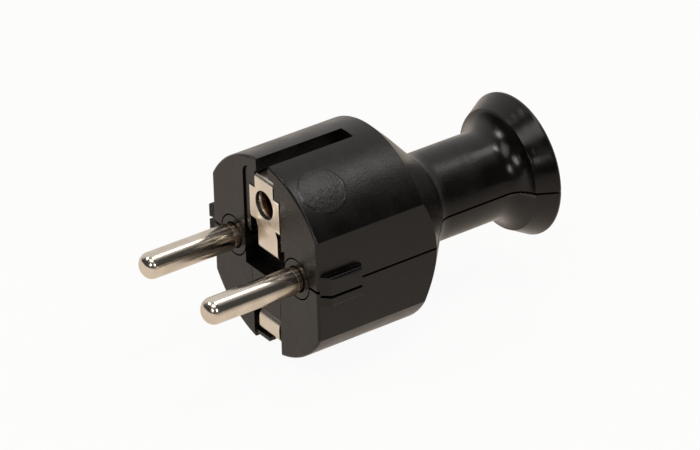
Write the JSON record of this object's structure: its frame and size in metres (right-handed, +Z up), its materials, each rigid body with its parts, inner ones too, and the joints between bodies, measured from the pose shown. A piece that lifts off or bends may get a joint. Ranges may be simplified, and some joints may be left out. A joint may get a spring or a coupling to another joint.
{
  "type": "schuko plug",
  "caption": "Black rewirable earthed mains plug with round nickel pins, earth strips at top and bottom, an earth pin socket and a flared knob handle.",
  "frame": {"origin": "centre of the front face, half way between the two pins", "axes": "+X from the left pin to the right pin, +Y back along the handle, +Z up to the earth pin hole"},
  "size_m": [0.0342, 0.0734, 0.0368],
  "materials": {
    "shell_plastic": "moulded, satin with polished handle",
    "carrier_plastic": "moulded, plain",
    "pin_nickel": "nickel plated, turned",
    "strip_nickel": "nickel plated, stamped",
    "zinc_steel": "zinc plated",
    "insert_brass": "plain brass"
  },
  "bodies": {
    "root": {"upper_shell": "shell_plastic", "lower_shell": "shell_plastic", "pin_carrier": "carrier_plastic", "left_pin": "pin_nickel", "right_pin": "pin_nickel", "earth_plate": "strip_nickel", "earth_sleeve": "strip_nickel", "lower_earth_strip": "strip_nickel", "left_terminal_screw": "zinc_steel", "right_terminal_screw": "zinc_steel", "earth_terminal_screw": "zinc_steel", "earth_clamp_washer": "zinc_steel", "earth_terminal_nut": "zinc_steel", "cord_clamp": "carrier_plastic", "cord_clamp_left_screw": "zinc_steel", "cord_clamp_right_screw": "zinc_steel", "left_clamp_nut": "zinc_steel", "right_clamp_nut": "zinc_steel", "left_housing_screw": "zinc_steel", "right_housing_screw": "zinc_steel", "left_threaded_insert": "insert_brass", "right_threaded_insert": "insert_brass"}
  },
  "joints": []
}
